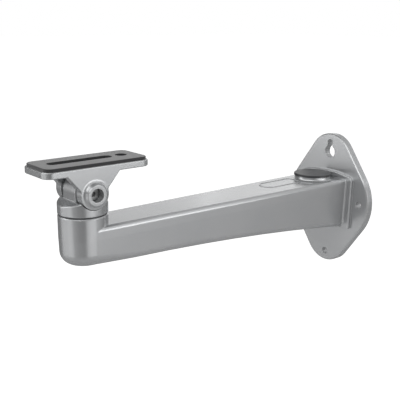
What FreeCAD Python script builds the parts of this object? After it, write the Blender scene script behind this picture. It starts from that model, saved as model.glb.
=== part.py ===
import FreeCAD, Part
import math
import os

from FreeCAD import Vector

# Wall bracket for a camera, in millimetres. The origin is the middle of the wall plate's back face.
# +Y points into the wall, the arm reaches toward -Y and +Z is up.

# Wall plate
plate_thickness = 7.4
plate_height = 129.4
plate_width = 98.6
plate_end_radius = 25.5
plate_side_radius = 44.3
plate_edge_bevel = 0.9

# Wall screw holes: two at the sides, one below, and a keyhole above to hang the bracket from
screw_hole_diameter = 6.4
side_hole_offset = 38.4
lower_hole_offset = 55.4
keyhole_end_offset = 56.0
keyhole_head_diameter = 12.4
keyhole_drop = 9.2

# Arm, from the wall plate to the round end that carries the head
reach = 286.0
end_diameter = 38.0
arm_top = 23.5
arm_root_width = 47.4
flare_length = 38.0
flare_width = 49.8
end_bottom = -7.2
root_bottom = -24.8
underside_slope = 0.2
arm_parting_height = 14.0
arm_draft = 2.0
arm_top_round = 3.4
end_bottom_round = 10.2
arm_bottom_round = 6.0
bottom_round_run = 35.0
end_top = 31.4
end_top_bevel = 0.8

# Collar round the root of the arm, with an arched top
collar_depth = 3.6
collar_top = 29.3
collar_corner = 25.6
collar_width = 62.8
collar_foot_width = 60.6
collar_corner_radius = 6.0
collar_edge_round = 1.0
collar_foot_round = 1.2

# Cable way: a core drawn from the back of the plate, and the round boss on top that leads into it
casting_wall = 4.0
core_end_gap = 22.0
core_corner_radius = 3.0
boss_back = 31.4
boss_radius = 17.0
boss_top = 27.2
boss_foot_round = 2.3
cable_hole_diameter = 26.0

# Plug in the cable hole
plug_flange_radius = 17.8
plug_flange = 2.0
plug_edge_bevel = 0.5
plug_depth = 6.0
plug_wall = 2.0
plug_clearance = 0.1

# Pan pivot: a spigot under the swivel base turns in the arm's end, held by a bolt from below
slide_gap = 0.1
running_clearance = 0.05
thrust_washer = 0.8
thrust_washer_inset = 0.6
spigot_diameter = 22.0
spigot_length = 5.6
spigot_end_gap = 0.4
bolt_floor = 16.0
bolt_pocket_diameter = 20.0
pan_bolt_diameter = 8.0
pan_bolt_hole_clearance = 0.25
pan_bolt_end_gap = 3.6
pan_head_diameter = 13.0
pan_head_height = 8.0
pan_key_width = 6.0
pan_key_depth = 4.0
pan_head_bevel = 0.6
flat_washer_diameter = 16.0
flat_washer = 1.6
spring_washer_diameter = 13.4
spring_washer = 2.0
spring_washer_split = 1.4
washer_bore_clearance = 0.2
thread_clearance = 0.05
thread_end_gap = 1.0

# Swivel base: a disc with a pitched top, two scoops for the ears and a rounded tongue between them
swivel_pitch = 0.35
swivel_edge_bevel = 0.6
swivel_bottom_bevel = 0.4
tilt_height = 49.0
swivel_edge_drop = 9.2
tongue_width = 18.5
tongue_radius = 11.2
tongue_foot_round = 1.5
tongue_edge_bevel = 0.5
scoop_clearance = 0.5

# Tilt head: a platform on two ears, with a round boss on the outside of each ear
ear_gap_width = 22.8
ear_radius = 11.4
ear_root_length = 42.6
ear_slope = 49.4
ear_join_round = 3.0
ear_pad_radius = 9.2
boss_height = 3.3
ear_boss_radius = 8.1
ear_boss_blend = 3.3
ear_boss_edge = 0.5
platform_width = 38.0
platform_length = 88.3
platform_offset = 5.6
platform_rise = 20.5
platform_thickness = 5.0
platform_corner_radius = 7.2
platform_edge_bevel = 0.5

# Camera slot and hole in the platform, and the pad on top of it
camera_slot_width = 7.0
camera_slot_start = -23.3
camera_slot_end = 21.4
camera_hole_offset = 34.7
pad_thickness = 2.3
pad_inset = 1.4
pad_opening_margin = 1.1
pad_edge_bevel = 0.4

# Tilt bolt in the near ear and nut in the far one
tilt_bolt_diameter = 6.0
tilt_bolt_length = 30.0
tilt_head_diameter = 10.0
tilt_head_height = 4.0
tilt_key_width = 4.0
tilt_key_depth = 2.3
tilt_head_bevel = 0.4
tilt_recess_clearance = 0.1
tilt_recess_floor = 11.8
tilt_hole_clearance = 0.1
nut_width = 10.0
nut_height = 5.0
nut_clearance = 0.1
nut_bevel = 0.7

# Where the main faces come to lie
end_radius = end_diameter / 2
axis_y = -reach
plate_front = -plate_thickness
collar_front = plate_front - collar_depth
flare_start = plate_front - flare_length
swivel_bottom = end_top + thrust_washer + slide_gap
swivel_edge = tilt_height - swivel_edge_drop
platform_top = tilt_height + platform_rise
pan_bolt_seat = bolt_floor - flat_washer - spring_washer
pan_bolt_tip = tilt_height - tilt_bolt_diameter / 2 - pan_bolt_end_gap
platform_bottom = platform_top - platform_thickness
half_platform = platform_width / 2
half_tongue = tongue_width / 2
half_ear_gap = ear_gap_width / 2
boss_face = half_platform + boss_height
overlap = 2.0

# Sections that the arm, its flare and its core are lofted through, and steps round the two hollow rounds
taper_steps = 7
flare_steps = 4
root_steps = 3
core_steps = 4
foot_steps = 4

X_AXIS = Vector(1, 0, 0)
Y_AXIS = Vector(0, 1, 0)
Z_AXIS = Vector(0, 0, 1)


def cylinder_x(radius, x_start, x_end, y, z):
    """A cylinder along X between two stations."""
    return Part.makeCylinder(radius, x_end - x_start, Vector(x_start, y, z), X_AXIS)


def cylinder_y(radius, y_start, y_end, x, z):
    """A cylinder along Y between two stations."""
    return Part.makeCylinder(radius, y_end - y_start, Vector(x, y_start, z), Y_AXIS)


def cylinder_z(radius, z_start, z_end, y, x=0.0):
    """A cylinder along Z between two heights."""
    return Part.makeCylinder(radius, z_end - z_start, Vector(x, y, z_start), Z_AXIS)


def box_between(x_start, x_end, y_start, y_end, z_start, z_end):
    """A box between two opposite corners."""
    corner = Vector(x_start, y_start, z_start)
    return Part.makeBox(x_end - x_start, y_end - y_start, z_end - z_start, corner)


def solid_of(edges, direction):
    """The solid swept by a closed flat outline along a direction."""
    return Part.Face(Part.Wire(edges)).extrude(direction)


def line(start, end):
    return Part.LineSegment(start, end).toShape()


def tangent_arc(start, heading, end):
    """The arc from start to end that leaves start along heading."""
    chord = end.sub(start)
    heading = Vector(heading)
    heading.normalize()
    along = heading * chord.dot(heading)
    inward = chord.sub(along)
    inward.normalize()
    radius = chord.Length ** 2 / (2 * chord.dot(inward))
    centre = start.add(inward * radius)
    to_middle = start.add(chord * 0.5).sub(centre)
    to_middle.normalize()
    return Part.Arc(start, centre.add(to_middle * radius), end).toShape()


def chords(arc, count):
    """Straight steps along an arc."""
    points = arc.discretize(count + 1)
    return [line(points[index], points[index + 1]) for index in range(count)]


def belt_arcs(circles):
    """Arcs of a belt round circles (u, v, radius) in anticlockwise order: start, middle and end of each."""
    headings = []
    for index, (u, v, radius) in enumerate(circles):
        next_u, next_v, next_radius = circles[(index + 1) % len(circles)]
        distance = math.hypot(next_u - u, next_v - v)
        turn = math.acos((radius - next_radius) / distance)
        headings.append(math.atan2(next_v - v, next_u - u) - turn)
    arcs = []
    for index, (u, v, radius) in enumerate(circles):
        start = headings[index - 1]
        end = headings[index]
        if end < start:
            end += 2 * math.pi
        angles = [start, (start + end) / 2, end]
        arcs.append([(u + radius * math.cos(angle), v + radius * math.sin(angle)) for angle in angles])
    return arcs


def belt_solid(circles, depth):
    """The solid between a belt-like outline in the plane of the wall and its copy in front of it."""
    arcs = []
    for points in belt_arcs(circles):
        arcs.append([Vector(u, 0, v) for u, v in points])
    edges = []
    for index, (start, middle, end) in enumerate(arcs):
        following = arcs[(index + 1) % len(arcs)][0]
        edges.append(Part.Arc(start, middle, end).toShape())
        edges.append(line(end, following))
    return solid_of(edges, Vector(0, -depth, 0))


def rounded_plate(width, length, radius, y_middle, z_start, z_end):
    """A flat plate with rounded corners."""
    block = box_between(-width / 2, width / 2, y_middle - length / 2, y_middle + length / 2, z_start, z_end)
    corners = [edge for edge in block.Edges if is_along(edge, Z_AXIS)]
    return block.makeFillet(radius, corners)


def slot_solid(width, y_start, y_end, z_start, z_end):
    """An upright slot along Y with round ends; its ends are the centres of the rounds."""
    ends = cylinder_z(width / 2, z_start, z_end, y_start)
    ends = ends.fuse(cylinder_z(width / 2, z_start, z_end, y_end))
    return ends.fuse(box_between(-width / 2, width / 2, y_start, y_end, z_start, z_end)).removeSplitter()


def hexagon_x(width, x_start, x_end, y, z):
    """A hexagonal prism along X, given its width across flats."""
    corner = width / math.sqrt(3)
    points = []
    for step in range(7):
        angle = math.radians(60 * step)
        points.append(Vector(x_start, y + corner * math.cos(angle), z + corner * math.sin(angle)))
    return Part.Face(Part.makePolygon(points)).extrude(Vector(x_end - x_start, 0, 0))


def hexagon_z(width, z_start, z_end, y):
    """A hexagonal prism along Z, given its width across flats."""
    corner = width / math.sqrt(3)
    points = []
    for step in range(7):
        angle = math.radians(60 * step)
        points.append(Vector(corner * math.cos(angle), y + corner * math.sin(angle), z_start))
    return Part.Face(Part.makePolygon(points)).extrude(Vector(0, 0, z_end - z_start))


def is_along(edge, direction):
    """True for a straight edge along a direction."""
    if edge.Curve.TypeId != "Part::GeomLine":
        return False
    span = edge.Vertexes[-1].Point.sub(edge.Vertexes[0].Point)
    return abs(abs(span.dot(direction)) - span.Length) < 1e-6


def edges_at(shape, axis, value, tolerance=1e-4):
    """The edges that lie whole in the plane where one coordinate has a value."""
    low = {"x": "XMin", "y": "YMin", "z": "ZMin"}[axis]
    high = {"x": "XMax", "y": "YMax", "z": "ZMax"}[axis]
    found = []
    for edge in shape.Edges:
        box = edge.BoundBox
        if abs(getattr(box, low) - value) < tolerance and abs(getattr(box, high) - value) < tolerance:
            found.append(edge)
    return found


def arm_half_width(y, flared):
    """Half the arm's width at a station: a taper, a flare, and a hollow round against the collar."""
    root = arm_root_width / 2
    taper = (root - end_radius) / (flare_start - axis_y)
    if y <= flare_start:
        return end_radius + taper * (y - axis_y)
    if not flared:
        return root
    full = collar_front - flare_start
    run = min(y, collar_front) - flare_start
    opening = flare_width / 2 - root - taper * full
    into_round = max(run - full + collar_foot_round, 0.0)
    widening = collar_foot_round - math.sqrt(collar_foot_round ** 2 - into_round ** 2)
    return root + taper * run + opening * (run / full) ** 2 + widening


def arm_underside(y):
    """Height of the arm's underside at a station: a long curve that falls toward the wall."""
    full = collar_front - axis_y
    run = min(y, collar_front) - axis_y
    fall = math.tan(math.radians(underside_slope))
    drop = end_bottom - root_bottom - fall * full
    return end_bottom - fall * run - drop * (run / full) ** 2


def bottom_round_at(y):
    """Radius of the arm's lower edges at a station: it shrinks behind the round end, then stays."""
    along = min((y - axis_y) / bottom_round_run, 1.0)
    return end_bottom_round + (arm_bottom_round - end_bottom_round) * along


def drafted_corner(half_width, low, radius):
    """Lower right corner of a section as (out, up) pairs: start, middle and end of its round."""
    draft = math.radians(arm_draft)
    foot = half_width - math.tan(draft) * (arm_parting_height - low)
    tangent = radius / math.tan(math.pi / 4 + draft / 2)
    start = (foot - tangent, low)
    end = (foot + tangent * math.sin(draft), low + tangent * math.cos(draft))
    to_corner = math.hypot(tangent, radius)
    middle = (start[0] + radius * tangent / to_corner, low + radius - radius * radius / to_corner)
    return [start, middle, end]


def arm_section(y, inset, round_above, round_below, flared):
    """Section through the arm: upright down to the parting height and drawn in below it."""
    width = arm_half_width(y, flared) - inset
    top = arm_top - inset
    middle = round_above * (1 - math.sqrt(0.5))
    below = drafted_corner(width, arm_underside(y) + inset, round_below)
    above = [(width, top - round_above), (width - middle, top - middle), (width - round_above, top)]
    right = [Vector(out, y, up) for out, up in below + [(width, arm_parting_height)] + above]
    left = [Vector(-point.x, y, point.z) for point in right]
    edges = [
        line(left[0], right[0]),
        Part.Arc(right[0], right[1], right[2]).toShape(),
        line(right[2], right[3]),
        line(right[3], right[4]),
        Part.Arc(right[4], right[5], right[6]).toShape(),
        line(right[6], left[6]),
        Part.Arc(left[6], left[5], left[4]).toShape(),
        line(left[4], left[3]),
        line(left[3], left[2]),
        Part.Arc(left[2], left[1], left[0]).toShape(),
    ]
    return Part.Wire(edges)


def stations(start, end, count):
    """Evenly spaced stations from a start up to an end, the end left out."""
    return [start + (end - start) * index / count for index in range(count)]


def arm_bar():
    """The arm from the axis of its round end to the wall plate, lofted through its sections."""
    round_start = collar_front - collar_foot_round
    places = stations(axis_y, flare_start, taper_steps) + stations(flare_start, round_start, flare_steps)
    for angle in stations(0.0, math.pi / 2, root_steps):
        places.append(round_start + collar_foot_round * math.sin(angle))
    places = places + [collar_front, plate_front + overlap]
    sections = [arm_section(y, 0.0, arm_top_round, bottom_round_at(y), True) for y in places]
    return Part.makeLoft(sections, True, True)


def arm_nose():
    """The half-round front of the arm, drawn in and rounded below like the bar behind it."""
    start, middle, end = drafted_corner(end_radius, end_bottom, end_bottom_round)
    start = Vector(start[0], 0, start[1])
    middle = Vector(middle[0], 0, middle[1])
    end = Vector(end[0], 0, end[1])
    parting = Vector(end_radius, 0, arm_parting_height)
    rim = Vector(end_radius, 0, arm_top)
    centre_top = Vector(0, 0, arm_top)
    centre_bottom = Vector(0, 0, end_bottom)
    profile = [
        line(centre_bottom, start),
        Part.Arc(start, middle, end).toShape(),
        line(end, parting),
        line(parting, rim),
        line(rim, centre_top),
        line(centre_top, centre_bottom),
    ]
    nose = Part.Face(Part.Wire(profile)).revolve(Vector(0, 0, 0), Z_AXIS, -180)
    nose.translate(Vector(0, axis_y, 0))
    return nose


def arm_end():
    """The round end that stands above the arm."""
    drum = cylinder_z(end_radius, arm_parting_height, end_top, axis_y)
    return drum.makeChamfer(end_top_bevel, edges_at(drum, "z", end_top))


def collar():
    """The raised collar at the root: an arched top, corners rounded and sides drawn in below."""
    back = plate_front + overlap
    foot = collar_foot_width / 2
    side = collar_width / 2
    right_foot = Vector(foot, back, root_bottom)
    right_top = Vector(side, back, collar_corner)
    left_top = Vector(-side, back, collar_corner)
    left_foot = Vector(-foot, back, root_bottom)
    arch = Part.Arc(right_top, Vector(0, back, collar_top), left_top).toShape()
    edges = [line(right_foot, right_top), arch, line(left_top, left_foot), line(left_foot, right_foot)]
    block = solid_of(edges, Vector(0, collar_front - back, 0))
    corners = [edge for edge in block.Edges if is_along(edge, Y_AXIS) and edge.BoundBox.ZMin > 0]
    block = block.makeFillet(collar_corner_radius, corners)
    rims = [edge for edge in edges_at(block, "y", collar_front) if edge.BoundBox.ZMax > root_bottom + 0.1]
    return block.makeFillet(collar_edge_round, rims)


def cable_boss():
    """The round boss on the arm, with a hollow round foot."""
    foot = arm_top - overlap
    outer = boss_radius + boss_foot_round
    rounded_from = Vector(outer, 0, arm_top)
    rounded_to = Vector(boss_radius, 0, arm_top + boss_foot_round)
    profile = [
        line(Vector(0, 0, foot), Vector(outer, 0, foot)),
        line(Vector(outer, 0, foot), rounded_from),
        line(rounded_to, Vector(boss_radius, 0, boss_top)),
        line(Vector(boss_radius, 0, boss_top), Vector(0, 0, boss_top)),
        line(Vector(0, 0, boss_top), Vector(0, 0, foot)),
    ]
    profile += chords(tangent_arc(rounded_from, Vector(-1, 0, 0), rounded_to), foot_steps)
    boss = Part.Face(Part.Wire(Part.__sortEdges__(profile))).revolve(Vector(0, 0, 0), Z_AXIS, 360)
    boss.translate(Vector(0, -boss_back, 0))
    return boss


def wall_plate():
    """The wall plate: a rounded lozenge with a softened front edge."""
    end = plate_height / 2 - plate_end_radius
    side = plate_width / 2 - plate_side_radius
    circles = [
        (side, 0.0, plate_side_radius),
        (0.0, end, plate_end_radius),
        (-side, 0.0, plate_side_radius),
        (0.0, -end, plate_end_radius),
    ]
    plate = belt_solid(circles, plate_thickness)
    return plate.makeChamfer(plate_edge_bevel, edges_at(plate, "y", plate_front))


def wall_holes():
    """Everything that is drilled or cast through the wall plate."""
    front = plate_front - overlap
    radius = screw_hole_diameter / 2
    holes = cylinder_y(radius, front, overlap, side_hole_offset, 0.0)
    holes = holes.fuse(cylinder_y(radius, front, overlap, -side_hole_offset, 0.0))
    holes = holes.fuse(cylinder_y(radius, front, overlap, 0.0, -lower_hole_offset))
    holes = holes.fuse(cylinder_y(radius, front, overlap, 0.0, keyhole_end_offset))
    head = keyhole_end_offset - keyhole_drop
    holes = holes.fuse(box_between(-radius, radius, front, overlap, head, keyhole_end_offset))
    return holes.fuse(cylinder_y(keyhole_head_diameter / 2, front, overlap, 0.0, head))


def cable_core():
    """The hollow of the arm, open at the back of the plate."""
    places = stations(axis_y + core_end_gap, flare_start, core_steps)
    places = places + [flare_start, collar_front, overlap]
    corner = core_corner_radius
    sections = [arm_section(y, casting_wall, corner, corner, False) for y in places]
    return Part.makeLoft(sections, True, True)


def wall_arm():
    """The casting: plate, collar, arm, cable boss and round end in one."""
    body = wall_plate().fuse([collar(), arm_bar(), arm_nose(), arm_end(), cable_boss()])
    body = body.cut(cable_core())
    body = body.cut(wall_holes())
    body = body.cut(cylinder_z(cable_hole_diameter / 2, 0.0, boss_top + overlap, -boss_back))
    body = body.cut(cylinder_z(bolt_pocket_diameter / 2, end_bottom - overlap, bolt_floor, axis_y))
    hole = pan_bolt_diameter / 2 + pan_bolt_hole_clearance
    body = body.cut(cylinder_z(hole, bolt_floor - overlap, end_top, axis_y))
    seat = end_top - spigot_length - spigot_end_gap + thrust_washer
    body = body.cut(cylinder_z(spigot_diameter / 2 + running_clearance, seat, end_top + overlap, axis_y))
    return body.removeSplitter()


def cable_plug():
    """Soft plug: a round flange on the boss and a hollow skirt in the cable hole."""
    flange = cylinder_z(plug_flange_radius, boss_top, boss_top + plug_flange, -boss_back)
    flange = flange.makeChamfer(plug_edge_bevel, edges_at(flange, "z", boss_top + plug_flange))
    skirt_radius = cable_hole_diameter / 2 - plug_clearance
    skirt = cylinder_z(skirt_radius, boss_top - plug_depth, boss_top + plug_flange / 2, -boss_back)
    hollow = cylinder_z(skirt_radius - plug_wall, boss_top - plug_depth - overlap, boss_top, -boss_back)
    return flange.fuse(skirt).cut(hollow).removeSplitter()


def pan_thrust_washer():
    """Thin ring between the arm's end and the swivel base."""
    outer = cylinder_z(end_radius - thrust_washer_inset, end_top, end_top + thrust_washer, axis_y)
    bore = spigot_diameter / 2 + washer_bore_clearance
    return outer.cut(cylinder_z(bore, end_top - overlap, end_top + overlap, axis_y))


def roof_prism(half_width, ridge):
    """The pitched top of the swivel base as a prism along X, up to a ridge distance from the axis."""
    shoulder = swivel_edge + swivel_pitch * (end_radius - ridge)
    eave = swivel_edge - swivel_pitch * overlap
    wide = end_radius + overlap
    outline = [
        Vector(-half_width, axis_y - wide, swivel_bottom),
        Vector(-half_width, axis_y - wide, eave),
        Vector(-half_width, axis_y - ridge, shoulder),
        Vector(-half_width, axis_y + ridge, shoulder),
        Vector(-half_width, axis_y + wide, eave),
        Vector(-half_width, axis_y + wide, swivel_bottom),
        Vector(-half_width, axis_y - wide, swivel_bottom),
    ]
    return Part.Face(Part.makePolygon(outline)).extrude(Vector(2 * half_width, 0, 0))


def swivel_disc():
    """The disc under the tongue, its rims softened and two scoops cut for the ears."""
    disc = cylinder_z(end_radius, swivel_bottom, tilt_height, axis_y)
    disc = disc.common(roof_prism(end_radius + overlap, tongue_radius - overlap))
    rims = []
    for edge in disc.Edges:
        box = edge.BoundBox
        if box.ZMin > swivel_bottom + 1.0 and box.XLength > end_radius and box.YLength > 1.0:
            rims.append(edge)
    disc = disc.makeChamfer(swivel_edge_bevel, rims)
    disc = disc.makeChamfer(swivel_bottom_bevel, edges_at(disc, "z", swivel_bottom))
    scoop = ear_radius + scoop_clearance
    wide = end_radius + overlap
    right_scoop = cylinder_x(scoop, half_tongue, wide, axis_y, tilt_height)
    left_scoop = cylinder_x(scoop, -wide, -half_tongue, axis_y, tilt_height)
    return disc.cut([right_scoop, left_scoop])


def swivel_tongue():
    """The upright tongue: a half-round top and hollow rounds at its two feet."""
    root = swivel_bottom + overlap
    tongue = cylinder_x(tongue_radius, -half_tongue, half_tongue, axis_y, tilt_height)
    front = axis_y - tongue_radius
    back = axis_y + tongue_radius
    stem = box_between(-half_tongue, half_tongue, front, back, root, tilt_height)
    tongue = tongue.fuse(stem).removeSplitter()
    rims = edges_at(tongue, "x", half_tongue) + edges_at(tongue, "x", -half_tongue)
    rims = [edge for edge in rims if edge.BoundBox.ZMax > root + 0.1]
    tongue = tongue.makeChamfer(tongue_edge_bevel, rims)
    narrow = half_tongue - tongue_edge_bevel
    foot = roof_prism(narrow, tongue_radius - overlap)
    foot = foot.fuse(box_between(-narrow, narrow, front, back, root, tilt_height)).removeSplitter()
    corners = []
    for edge in foot.Edges:
        at_face = abs(abs(edge.CenterOfMass.y - axis_y) - tongue_radius) < 0.01
        below = root < edge.CenterOfMass.z < tilt_height - 1.0
        if at_face and below and is_along(edge, X_AXIS):
            corners.append(edge)
    foot = foot.makeFillet(tongue_foot_round, corners)
    foot = foot.common(cylinder_z(end_radius - overlap, root, tilt_height, axis_y))
    return tongue.fuse(foot)


def swivel_base():
    """The turning disc with its tongue above and its spigot below, bored for both bolts."""
    spigot_end = swivel_bottom - spigot_length
    spigot = cylinder_z(spigot_diameter / 2, spigot_end, swivel_bottom + overlap, axis_y)
    body = swivel_disc().fuse([swivel_tongue(), spigot]).removeSplitter()
    bore = tilt_bolt_diameter / 2 + running_clearance
    body = body.cut(cylinder_x(bore, -end_radius, end_radius, axis_y, tilt_height))
    thread = pan_bolt_diameter / 2 + thread_clearance
    return body.cut(cylinder_z(thread, spigot_end - overlap, pan_bolt_tip + thread_end_gap, axis_y))


def pan_bolt():
    """Socket-head bolt that stands upright in the arm's end, head down."""
    end = pan_bolt_seat - pan_head_height
    head = cylinder_z(pan_head_diameter / 2, end, pan_bolt_seat, axis_y)
    head = head.makeChamfer(pan_head_bevel, edges_at(head, "z", end))
    shank = cylinder_z(pan_bolt_diameter / 2, pan_bolt_seat - overlap, pan_bolt_tip, axis_y)
    socket = hexagon_z(pan_key_width, end - overlap, end + pan_key_depth, axis_y)
    return head.fuse(shank).cut(socket).removeSplitter()


def pan_flat_washer():
    """Flat washer against the floor of the bolt pocket."""
    outer = cylinder_z(flat_washer_diameter / 2, bolt_floor - flat_washer, bolt_floor, axis_y)
    bore = pan_bolt_diameter / 2 + washer_bore_clearance
    return outer.cut(cylinder_z(bore, bolt_floor - flat_washer - overlap, bolt_floor + overlap, axis_y))


def pan_spring_washer():
    """Split spring washer, pressed flat between the bolt's head and the flat washer."""
    top = bolt_floor - flat_washer
    bottom = top - spring_washer
    bore = pan_bolt_diameter / 2 + washer_bore_clearance
    ring = cylinder_z(spring_washer_diameter / 2, bottom, top, axis_y)
    ring = ring.cut(cylinder_z(bore, bottom - overlap, top + overlap, axis_y))
    half = spring_washer_split / 2
    split = box_between(
        0.0, spring_washer_diameter, axis_y - half, axis_y + half, bottom - overlap, top + overlap
    )
    return ring.cut(split)


def ear_outline(x):
    """Side view of an ear: a round lobe at the bolt, and a web that widens to the platform."""
    rise = math.tan(math.radians(ear_slope))
    top = platform_bottom + overlap
    half_top = ear_root_length / 2 + overlap / rise
    drop = platform_bottom - tilt_height
    half_low = ear_root_length / 2 - drop / rise
    points = [
        Vector(x, axis_y - half_top, top),
        Vector(x, axis_y + half_top, top),
        Vector(x, axis_y + half_low, tilt_height),
        Vector(x, axis_y - half_low, tilt_height),
        Vector(x, axis_y - half_top, top),
    ]
    return Part.Face(Part.makePolygon(points))


def ear(side):
    """One ear with its outer boss and inner pad; side is +1 for the near ear and -1 for the far one."""
    inner = side * half_ear_gap
    outer = side * half_platform
    low = min(inner, outer)
    high = max(inner, outer)
    web = ear_outline(low).extrude(Vector(high - low, 0, 0))
    lobe = cylinder_x(ear_radius, low, high, axis_y, tilt_height)
    body = web.fuse(lobe).removeSplitter()
    joins = []
    for edge in body.Edges:
        above = edge.CenterOfMass.z > tilt_height + 1.0
        near_lobe = edge.CenterOfMass.z < tilt_height + ear_radius
        if is_along(edge, X_AXIS) and above and near_lobe:
            joins.append(edge)
    body = body.makeFillet(ear_join_round, joins)
    tip = half_platform + boss_height
    rim = ear_boss_radius - ear_boss_edge
    blend = ear_boss_radius + ear_boss_blend
    rounded_from = Vector(half_platform, blend, 0)
    rounded_to = Vector(tip - ear_boss_edge, ear_boss_radius, 0)
    profile = [
        line(Vector(half_ear_gap, 0, 0), Vector(tip, 0, 0)),
        line(Vector(tip, 0, 0), Vector(tip, rim, 0)),
        line(Vector(tip, rim, 0), rounded_to),
        line(rounded_from, Vector(half_ear_gap, blend, 0)),
        line(Vector(half_ear_gap, blend, 0), Vector(half_ear_gap, 0, 0)),
    ]
    profile.append(tangent_arc(rounded_from, Vector(0, -1, 0), rounded_to))
    boss = Part.Face(Part.Wire(Part.__sortEdges__(profile))).revolve(Vector(0, 0, 0), X_AXIS, 360)
    if side < 0:
        boss = boss.mirror(Vector(0, 0, 0), X_AXIS)
    boss.translate(Vector(0, axis_y, tilt_height))
    pad_face = side * (half_tongue + slide_gap)
    pad_root = side * (half_ear_gap + overlap)
    pad = cylinder_x(ear_pad_radius, min(pad_face, pad_root), max(pad_face, pad_root), axis_y, tilt_height)
    return body.fuse([boss, pad]).removeSplitter()


def tilt_head():
    """The head casting: platform, two ears, a round recess for the bolt and a hex one for the nut."""
    middle = axis_y + platform_offset
    platform = rounded_plate(
        platform_width, platform_length, platform_corner_radius, middle, platform_bottom, platform_top
    )
    rims = edges_at(platform, "z", platform_top) + edges_at(platform, "z", platform_bottom)
    platform = platform.makeChamfer(platform_edge_bevel, rims)
    body = platform.fuse([ear(1), ear(-1)]).removeSplitter()
    camera_openings = slot_solid(
        camera_slot_width,
        axis_y + camera_slot_start,
        axis_y + camera_slot_end,
        platform_bottom - overlap,
        platform_top + overlap,
    )
    camera_openings = camera_openings.fuse(
        cylinder_z(
            camera_slot_width / 2,
            platform_bottom - overlap,
            platform_top + overlap,
            axis_y + camera_hole_offset,
        )
    )
    body = body.cut(camera_openings)
    bore = tilt_bolt_diameter / 2 + tilt_hole_clearance
    body = body.cut(cylinder_x(bore, -boss_face - overlap, boss_face + overlap, axis_y, tilt_height))
    recess = tilt_head_diameter / 2 + tilt_recess_clearance
    body = body.cut(cylinder_x(recess, tilt_recess_floor, boss_face + overlap, axis_y, tilt_height))
    pocket = nut_width + 2 * nut_clearance
    return body.cut(hexagon_x(pocket, -boss_face - overlap, -tilt_recess_floor, axis_y, tilt_height))


def camera_pad():
    """Soft pad on the platform, with wider openings than the platform's own."""
    width = platform_width - 2 * pad_inset
    length = platform_length - 2 * pad_inset
    top = platform_top + pad_thickness
    corner = platform_corner_radius - pad_inset
    pad = rounded_plate(width, length, corner, axis_y + platform_offset, platform_top, top)
    pad = pad.makeChamfer(pad_edge_bevel, edges_at(pad, "z", top))
    opening = camera_slot_width + 2 * pad_opening_margin
    below = platform_top - overlap
    above = top + overlap
    pad = pad.cut(slot_solid(opening, axis_y + camera_slot_start, axis_y + camera_slot_end, below, above))
    return pad.cut(cylinder_z(opening / 2, below, above, axis_y + camera_hole_offset))


def tilt_bolt():
    """Low socket-head bolt through both ears and the tongue."""
    seat = tilt_recess_floor
    face = seat + tilt_head_height
    head = cylinder_x(tilt_head_diameter / 2, seat, face, axis_y, tilt_height)
    head = head.makeChamfer(tilt_head_bevel, edges_at(head, "x", face))
    tip = seat - tilt_bolt_length
    shank = cylinder_x(tilt_bolt_diameter / 2, tip, seat + overlap, axis_y, tilt_height)
    socket = hexagon_x(tilt_key_width, face - tilt_key_depth, face + overlap, axis_y, tilt_height)
    return head.fuse(shank).cut(socket).removeSplitter()


def tilt_nut():
    """Hexagonal nut held from turning in the far ear, its outer corners bevelled."""
    face = -tilt_recess_floor - nut_height
    nut = hexagon_x(nut_width, face, -tilt_recess_floor, axis_y, tilt_height)
    cone_radius = nut_width / math.sqrt(3)
    corners = cylinder_x(cone_radius, face, -tilt_recess_floor, axis_y, tilt_height)
    corners = corners.makeChamfer(nut_bevel, edges_at(corners, "x", face))
    bore = tilt_bolt_diameter / 2 + thread_clearance
    return nut.common(corners).cut(cylinder_x(bore, face - overlap, overlap, axis_y, tilt_height))


nodes = {
    "wall_arm": wall_arm(),
    "cable_plug": cable_plug(),
    "pan_thrust_washer": pan_thrust_washer(),
    "pan_flat_washer": pan_flat_washer(),
    "swivel_base": swivel_base(),
    "pan_spring_washer": pan_spring_washer(),
    "pan_bolt": pan_bolt(),
    "tilt_head": tilt_head(),
    "camera_pad": camera_pad(),
    "tilt_bolt": tilt_bolt(),
    "tilt_nut": tilt_nut(),
}

os.makedirs("parts", exist_ok=True)
for name, shape in nodes.items():
    shape.exportStep("parts/" + name + ".step")
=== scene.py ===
import math

import bpy
from mathutils import Matrix, Vector


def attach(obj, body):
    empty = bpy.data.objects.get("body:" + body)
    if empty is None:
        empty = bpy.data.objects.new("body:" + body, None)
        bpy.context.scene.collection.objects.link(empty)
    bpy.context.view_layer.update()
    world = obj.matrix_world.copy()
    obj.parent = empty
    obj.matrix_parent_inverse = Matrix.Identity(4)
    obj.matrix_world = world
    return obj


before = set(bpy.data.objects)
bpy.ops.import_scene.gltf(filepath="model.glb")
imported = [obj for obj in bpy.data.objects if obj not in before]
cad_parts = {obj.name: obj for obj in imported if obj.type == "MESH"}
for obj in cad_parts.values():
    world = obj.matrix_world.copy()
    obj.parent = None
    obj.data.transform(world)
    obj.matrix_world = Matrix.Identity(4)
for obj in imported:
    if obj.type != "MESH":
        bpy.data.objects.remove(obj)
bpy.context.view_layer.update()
MM = 0.001

# Camera, solved from the photograph: place in millimetres, angles in degrees
camera_place = Vector((450.01, -542.44, 173.05)) * MM
camera_azimuth = 50.585
camera_elevation = 14.395
camera_roll = 0.415
camera_lens = 63.64
sensor_width = 36.0
camera_near = 0.01
camera_far = 50.0

# Studio: heights and sizes in metres
floor_height = -0.7
floor_half = 30.0
floor_paper = (0.6, 0.6, 0.6)
subject = Vector((0.0, -0.16, 0.02))
light_distance = 1.4
ambient_light = 0.14
white = (1.0, 1.0, 1.0, 1.0)

# Rings of soft lights round the subject: elevation in degrees, width and height in metres
low_ring = (-8.0, 0.5, 1.0)
middle_ring = (8.0, 0.5, 0.75)
high_ring = (45.0, 2.4, 1.0)

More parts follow.
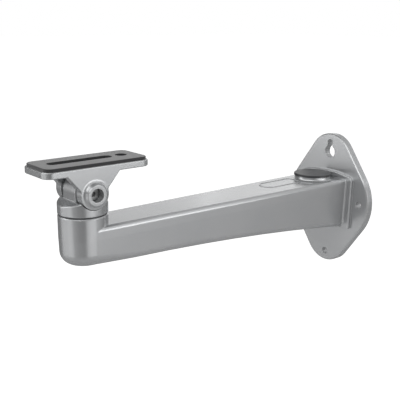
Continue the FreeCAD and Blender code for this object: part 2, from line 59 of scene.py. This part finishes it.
# Silver paint
paint_dark = (0.52, 0.53, 0.54)
paint_light = (0.545, 0.552, 0.56)
paint_flake = (0.62, 0.625, 0.63)
paint_worn = (0.72, 0.72, 0.715)
paint_metallic = 0.72

# Rubber pad: its top painted lighter as a painted reflection, its sides painted darker as painted shade
pad_side_painted_shade_dark = (0.022, 0.022, 0.024)
pad_side_painted_shade_light = (0.036, 0.036, 0.038)
pad_lit_top_dark = (0.14, 0.141, 0.143)
pad_lit_top_light = (0.17, 0.171, 0.173)
pad_refraction = 1.4
pad_sheen = 0.5
pad_sheen_roughness = 0.5

# Black plug, nylon washer and zinc-plated steel
plug_dark = (0.035, 0.036, 0.038)
plug_light = (0.06, 0.061, 0.063)
nylon_dark = (0.02, 0.02, 0.022)
nylon_light = (0.04, 0.04, 0.043)
steel_dark = (0.30, 0.305, 0.31)
steel_light = (0.42, 0.42, 0.415)
steel_edge = (0.62, 0.62, 0.61)
steel_metallic = 0.95

# Blank label frame cast on top of the arm in front of the cable boss, in millimetres
arm_top = 23.5
label_middle = -4.3
label_front = -95.6
label_back = -50.8
label_width = 18.7
label_corner = 3.5
label_line = 1.2
label_rise = 0.45
label_slope = 0.2
label_root = 0.15
label_front_steps = 32
label_corner_steps = 10


# Small node helpers
def empty_material(name):
    """A material with an empty node tree and its output node."""
    material = bpy.data.materials.new(name)
    material.use_nodes = True
    tree = material.node_tree
    tree.nodes.clear()
    output = tree.nodes.new("ShaderNodeOutputMaterial")
    return material, tree, output


def new_tree(name):
    """A material with a Principled shader wired to its output."""
    material, tree, output = empty_material(name)
    shader = tree.nodes.new("ShaderNodeBsdfPrincipled")
    tree.links.new(shader.outputs["BSDF"], output.inputs["Surface"])
    return material, tree, shader


def object_coordinates(tree):
    """Coordinates in metres, fixed to the piece."""
    return tree.nodes.new("ShaderNodeTexCoord").outputs["Object"]


def noise(tree, where, scale, detail, roughness, distortion=0.0):
    """Soft noise from 0 to 1; the scale is its number of waves in a metre."""
    node = tree.nodes.new("ShaderNodeTexNoise")
    node.inputs["Scale"].default_value = scale
    node.inputs["Detail"].default_value = detail
    node.inputs["Roughness"].default_value = roughness
    node.inputs["Distortion"].default_value = distortion
    tree.links.new(where, node.inputs["Vector"])
    return node.outputs["Fac"]


def mapped(tree, value, low, high, to_low=0.0, to_high=1.0):
    """A value stretched from one range to another and held inside it."""
    node = tree.nodes.new("ShaderNodeMapRange")
    node.inputs["From Min"].default_value = low
    node.inputs["From Max"].default_value = high
    node.inputs["To Min"].default_value = to_low
    node.inputs["To Max"].default_value = to_high
    tree.links.new(value, node.inputs["Value"])
    return node.outputs["Result"]


def mixed(tree, factor, first, second):
    """A colour between two, each a socket or an RGB triple."""
    node = tree.nodes.new("ShaderNodeMix")
    node.data_type = "RGBA"
    tree.links.new(factor, node.inputs["Factor"])
    for socket, colour in ((node.inputs["A"], first), (node.inputs["B"], second)):
        if isinstance(colour, tuple):
            socket.default_value = (*colour, 1.0)
        else:
            tree.links.new(colour, socket)
    return node.outputs["Result"]


def arithmetic(tree, operation, first, second):
    """Two values, each a socket or a number, added or multiplied."""
    node = tree.nodes.new("ShaderNodeMath")
    node.operation = operation
    for socket, value in ((node.inputs[0], first), (node.inputs[1], second)):
        if isinstance(value, float):
            socket.default_value = value
        else:
            tree.links.new(value, socket)
    return node.outputs["Value"]


def bumped(tree, height, distance, strength, below=None):
    """A normal disturbed by fine relief, on top of another normal if one is given."""
    node = tree.nodes.new("ShaderNodeBump")
    node.inputs["Strength"].default_value = strength
    node.inputs["Distance"].default_value = distance
    tree.links.new(height, node.inputs["Height"])
    if below is not None:
        tree.links.new(below, node.inputs["Normal"])
    return node.outputs["Normal"]


def rounded_normal(tree, radius):
    """A normal that turns smoothly over edges, as if they were rounded to a radius."""
    node = tree.nodes.new("ShaderNodeBevel")
    node.samples = 6
    node.inputs["Radius"].default_value = radius
    return node.outputs["Normal"]


def edge_mask(tree, rounded, gain):
    """Near 1 along sharp edges and 0 on faces: how far a rounded normal departs from the real one."""
    geometry = tree.nodes.new("ShaderNodeNewGeometry")
    dot = tree.nodes.new("ShaderNodeVectorMath")
    dot.operation = "DOT_PRODUCT"
    tree.links.new(rounded, dot.inputs[0])
    tree.links.new(geometry.outputs["Normal"], dot.inputs[1])
    return mapped(tree, dot.outputs["Value"], 1.0, 1.0 - 1.0 / gain)


# Materials: relief depths and edge radii in millimetres
def casting_material():
    """Die-cast aluminium under a satin silver paint: fine flake, a faint orange peel and worn edges."""
    material, tree, shader = new_tree("casting_silver_paint")
    where = object_coordinates(tree)
    cloud = noise(tree, where, scale=26.0, detail=3.0, roughness=0.55)
    flake = noise(tree, where, scale=2600.0, detail=1.0, roughness=0.4)
    peel = noise(tree, where, scale=420.0, detail=2.0, roughness=0.5)
    haze = noise(tree, where, scale=90.0, detail=4.0, roughness=0.6)
    rounded = rounded_normal(tree, 0.7 * MM)
    edges = edge_mask(tree, rounded, gain=9.0)
    tone = mixed(tree, mapped(tree, cloud, 0.32, 0.68), paint_dark, paint_light)
    sparkle = mapped(tree, flake, 0.42, 0.66, to_low=0.0, to_high=0.14)
    tone = mixed(tree, sparkle, tone, paint_flake)
    patches = mapped(tree, peel, 0.38, 0.66, to_low=0.1, to_high=0.55)
    worn = arithmetic(tree, "MULTIPLY", edges, patches)
    tone = mixed(tree, worn, tone, paint_worn)
    tree.links.new(tone, shader.inputs["Base Color"])
    shader.inputs["Metallic"].default_value = paint_metallic
    gloss = mapped(tree, haze, 0.3, 0.7, to_low=0.267, to_high=0.273)
    tree.links.new(gloss, shader.inputs["Roughness"])
    grain = bumped(tree, flake, distance=0.012 * MM, strength=0.04, below=rounded)
    relief = bumped(tree, peel, distance=0.05 * MM, strength=0.04, below=grain)
    tree.links.new(relief, shader.inputs["Normal"])
    return material


def pad_material():
    """Thin dark matt rubber with fine pebbles and scuffs: its top painted a lighter grey as a painted
    reflection, its sides painted darker as painted shade.
    """
    material, tree, shader = new_tree("pad_rubber_painted_top_light")
    where = object_coordinates(tree)
    pebble = noise(tree, where, scale=1900.0, detail=2.0, roughness=0.6)
    scuff = noise(tree, where, scale=60.0, detail=5.0, roughness=0.62, distortion=0.3)
    rounded = rounded_normal(tree, 0.4 * MM)
    # Painted light and shade: faces turned up take the lighter top colour, faces turned aside the darker
    # side colour
    facing = tree.nodes.new("ShaderNodeSeparateXYZ")
    tree.links.new(tree.nodes.new("ShaderNodeTexCoord").outputs["Normal"], facing.inputs["Vector"])
    painted_light_mask = mapped(tree, facing.outputs["Z"], 0.7, 0.97)
    painted_shade_sides = mixed(tree, scuff, pad_side_painted_shade_dark, pad_side_painted_shade_light)
    top = mixed(tree, mapped(tree, scuff, 0.42, 0.72), pad_lit_top_dark, pad_lit_top_light)
    tree.links.new(mixed(tree, painted_light_mask, painted_shade_sides, top), shader.inputs["Base Color"])
    matt = mapped(tree, pebble, 0.3, 0.7, to_low=0.7, to_high=0.8)
    tree.links.new(matt, shader.inputs["Roughness"])
    shader.inputs["IOR"].default_value = pad_refraction
    shader.inputs["Sheen Weight"].default_value = pad_sheen
    shader.inputs["Sheen Roughness"].default_value = pad_sheen_roughness
    relief = bumped(tree, pebble, distance=0.03 * MM, strength=0.4, below=rounded)
    tree.links.new(relief, shader.inputs["Normal"])
    return material


def plug_material():
    """Black moulded plastic with a fine spark-eroded texture."""
    material, tree, shader = new_tree("plug_black_plastic")
    where = object_coordinates(tree)
    spark = noise(tree, where, scale=1500.0, detail=3.0, roughness=0.65)
    haze = noise(tree, where, scale=70.0, detail=4.0, roughness=0.6)
    tone = mixed(tree, mapped(tree, haze, 0.35, 0.7), plug_dark, plug_light)
    tree.links.new(tone, shader.inputs["Base Color"])
    satin = mapped(tree, spark, 0.3, 0.7, to_low=0.34, to_high=0.46)
    tree.links.new(satin, shader.inputs["Roughness"])
    relief = bumped(tree, spark, distance=0.03 * MM, strength=0.6)
    tree.links.new(relief, shader.inputs["Normal"])
    return material


def washer_material():
    """Dark nylon, slightly waxy."""
    material, tree, shader = new_tree("washer_dark_nylon")
    where = object_coordinates(tree)
    haze = noise(tree, where, scale=300.0, detail=3.0, roughness=0.6)
    tree.links.new(mixed(tree, haze, nylon_dark, nylon_light), shader.inputs["Base Color"])
    waxy = mapped(tree, haze, 0.3, 0.7, to_low=0.4, to_high=0.55)
    tree.links.new(waxy, shader.inputs["Roughness"])
    relief = bumped(tree, haze, distance=0.02 * MM, strength=0.5)
    tree.links.new(relief, shader.inputs["Normal"])
    return material


def steel_material():
    """Zinc-plated steel: fine scratches, a cloudy tone and brighter edges."""
    material, tree, shader = new_tree("fastener_zinc_steel")
    where = object_coordinates(tree)
    stain = noise(tree, where, scale=240.0, detail=4.0, roughness=0.6)
    scratch = noise(tree, where, scale=1800.0, detail=2.0, roughness=0.5, distortion=1.2)
    rounded = rounded_normal(tree, 0.25 * MM)
    edges = edge_mask(tree, rounded, gain=8.0)
    tone = mixed(tree, mapped(tree, stain, 0.35, 0.7), steel_dark, steel_light)
    tone = mixed(tree, arithmetic(tree, "MULTIPLY", edges, 0.6), tone, steel_edge)
    tree.links.new(tone, shader.inputs["Base Color"])
    shader.inputs["Metallic"].default_value = steel_metallic
    sheen = mapped(tree, scratch, 0.3, 0.7, to_low=0.26, to_high=0.42)
    tree.links.new(sheen, shader.inputs["Roughness"])
    relief = bumped(tree, scratch, distance=0.008 * MM, strength=0.6, below=rounded)
    tree.links.new(relief, shader.inputs["Normal"])
    return material


casting = casting_material()
rubber = pad_material()
plastic = plug_material()
nylon = washer_material()
steel = steel_material()

finishes = {
    "wall_arm": casting,
    "swivel_base": casting,
    "tilt_head": casting,
    "camera_pad": rubber,
    "cable_plug": plastic,
    "pan_thrust_washer": nylon,
    "pan_flat_washer": steel,
    "pan_spring_washer": steel,
    "pan_bolt": steel,
    "tilt_bolt": steel,
    "tilt_nut": steel,
}
for name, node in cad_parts.items():
    node.data.materials.clear()
    node.data.materials.append(finishes[name])


# Blank label frame
def label_path():
    """Places along the middle of the raised line, each with its outward direction: a half-round front."""
    half = (label_width - label_line) / 2
    front = label_front + label_line / 2
    back = label_back - label_line / 2
    corner = label_corner
    rounds = [
        (label_middle, front + half, half, 180.0, 360.0, label_front_steps),
        (label_middle + half - corner, back - corner, corner, 0.0, 90.0, label_corner_steps),
        (label_middle - half + corner, back - corner, corner, 90.0, 180.0, label_corner_steps),
    ]
    path = []
    for x, y, radius, start, end, count in rounds:
        for index in range(count + 1):
            angle = math.radians(start + (end - start) * index / count)
            outward = Vector((math.cos(angle), math.sin(angle), 0.0))
            path.append((Vector((x, y, arm_top)) + outward * radius, outward))
    return path


def make_label_frame():
    """A raised line with sloped sides round a bare field, its root sunk into the arm's top."""
    half = label_line / 2
    up = Vector((0.0, 0.0, 1.0))
    profile = [
        (half, -label_root),
        (half, 0.0),
        (half - label_slope, label_rise),
        (label_slope - half, label_rise),
        (-half, 0.0),
        (-half, -label_root),
    ]
    path = label_path()
    vertices = []
    for place, outward in path:
        for out, rise in profile:
            vertices.append((place + outward * out + up * rise) * MM)
    faces = []
    corners = len(profile)
    for index in range(len(path)):
        here = index * corners
        there = (index + 1) % len(path) * corners
        for corner in range(corners):
            following = (corner + 1) % corners
            faces.append((here + corner, there + corner, there + following, here + following))
    mesh = bpy.data.meshes.new("label_frame")
    mesh.from_pydata(vertices, [], faces)
    mesh.materials.append(casting)
    frame_piece = bpy.data.objects.new("label_frame", mesh)
    bpy.context.scene.collection.objects.link(frame_piece)
    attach(frame_piece, "arm")


make_label_frame()


# Studio
def floor_material():
    """Plain pale paper, kept near white where it is seen."""
    material, tree, output = empty_material("pale_paper")
    paper = tree.nodes.new("ShaderNodeBsdfDiffuse")
    paper.inputs["Color"].default_value = (*floor_paper, 1.0)
    glow = tree.nodes.new("ShaderNodeEmission")
    glow.inputs["Color"].default_value = white
    path = tree.nodes.new("ShaderNodeLightPath")
    tree.links.new(path.outputs["Is Camera Ray"], glow.inputs["Strength"])
    both = tree.nodes.new("ShaderNodeAddShader")
    tree.links.new(paper.outputs["BSDF"], both.inputs[0])
    tree.links.new(glow.outputs["Emission"], both.inputs[1])
    tree.links.new(both.outputs["Shader"], output.inputs["Surface"])
    return material


def make_floor():
    """A flat square of paper, well below the bracket."""
    mesh = bpy.data.meshes.new("studio_floor")
    half = floor_half
    corners = [(-half, -half), (half, -half), (half, half), (-half, half)]
    mesh.from_pydata([(x, y, floor_height) for x, y in corners], [], [(0, 1, 2, 3)])
    floor = bpy.data.objects.new("studio_floor", mesh)
    bpy.context.scene.collection.objects.link(floor)
    mesh.materials.append(floor_material())


def make_world():
    """A faint even light from all round; the camera sees plain white."""
    world = bpy.data.worlds.new("studio_light")
    bpy.context.scene.world = world
    world.use_nodes = True
    tree = world.node_tree
    tree.nodes.clear()
    output = tree.nodes.new("ShaderNodeOutputWorld")
    shader = tree.nodes.new("ShaderNodeBackground")
    shader.inputs["Color"].default_value = white
    path = tree.nodes.new("ShaderNodeLightPath")
    seen = arithmetic(tree, "MULTIPLY", path.outputs["Is Camera Ray"], 1.0 - ambient_light)
    strength = arithmetic(tree, "ADD", seen, ambient_light)
    tree.links.new(strength, shader.inputs["Strength"])
    tree.links.new(shader.outputs["Background"], output.inputs["Surface"])


def direction(azimuth, elevation):
    """From the bracket outward: azimuth 0 points past the arm's end, 90 to its near side."""
    a = math.radians(azimuth)
    e = math.radians(elevation)
    return Vector((math.sin(a) * math.cos(e), -math.cos(a) * math.cos(e), math.sin(e)))


def soft_box(name, azimuth, ring, power):
    """A soft light aimed at the subject, on one of the rings round it."""
    elevation, width, height = ring
    light = bpy.data.lights.new(name, "AREA")
    light.shape = "RECTANGLE"
    light.size = width
    light.size_y = height
    light.energy = power
    back = direction(azimuth, elevation)
    lamp = bpy.data.objects.new(name, light)
    lamp.location = subject + back * light_distance
    lamp.rotation_mode = "QUATERNION"
    lamp.rotation_quaternion = back.to_track_quat("Z", "Y")
    lamp.visible_camera = False
    bpy.context.scene.collection.objects.link(lamp)


def make_camera():
    """The camera of the photograph, rolled slightly about its line of sight."""
    a = math.radians(camera_azimuth)
    r = math.radians(camera_roll)
    back = direction(camera_azimuth, camera_elevation)
    level = Vector((math.cos(a), math.sin(a), 0.0))
    upright = back.cross(level)
    right = level * math.cos(r) + upright * math.sin(r)
    up = upright * math.cos(r) - level * math.sin(r)
    data = bpy.data.cameras.new("camera")
    data.lens = camera_lens
    data.sensor_width = sensor_width
    data.sensor_fit = "HORIZONTAL"
    data.clip_start = camera_near
    data.clip_end = camera_far
    camera = bpy.data.objects.new("camera", data)
    axes = Matrix((right, up, back)).transposed().to_4x4()
    camera.matrix_world = Matrix.Translation(camera_place) @ axes
    bpy.context.scene.collection.objects.link(camera)
    bpy.context.scene.camera = camera


make_floor()
make_world()

# Lights: name, azimuth in degrees, ring and power in watts
soft_box("low_front_left", -40.0, low_ring, 0.82)
soft_box("low_front_middle", -20.0, low_ring, 0.98)
soft_box("low_front", 0.0, low_ring, 1.18)
soft_box("low_front_right", 20.0, low_ring, 0.35)
soft_box("low_right", 40.0, low_ring, 0.12)
soft_box("low_side_front", 80.0, low_ring, 1.08)
soft_box("low_side", 100.0, low_ring, 1.2)
soft_box("low_side_back", 120.0, low_ring, 0.51)
soft_box("low_back_right", 140.0, low_ring, 0.32)
soft_box("middle_front_left", -40.0, middle_ring, 1.8)
soft_box("middle_left_back", -120.0, middle_ring, 1.07)
soft_box("middle_back_left", -140.0, middle_ring, 1.15)
soft_box("middle_back_right", 160.0, middle_ring, 1.43)
soft_box("middle_side_back", 120.0, middle_ring, 2.3)
soft_box("middle_side", 100.0, middle_ring, 1.4)
soft_box("high_front", 0.0, high_ring, 11.5)
soft_box("high_right", 90.0, high_ring, 4.6)
soft_box("high_back", 180.0, high_ring, 3.3)

make_camera()
bpy.context.scene.view_settings.view_transform = "Standard"
bpy.context.scene.view_settings.look = "None"
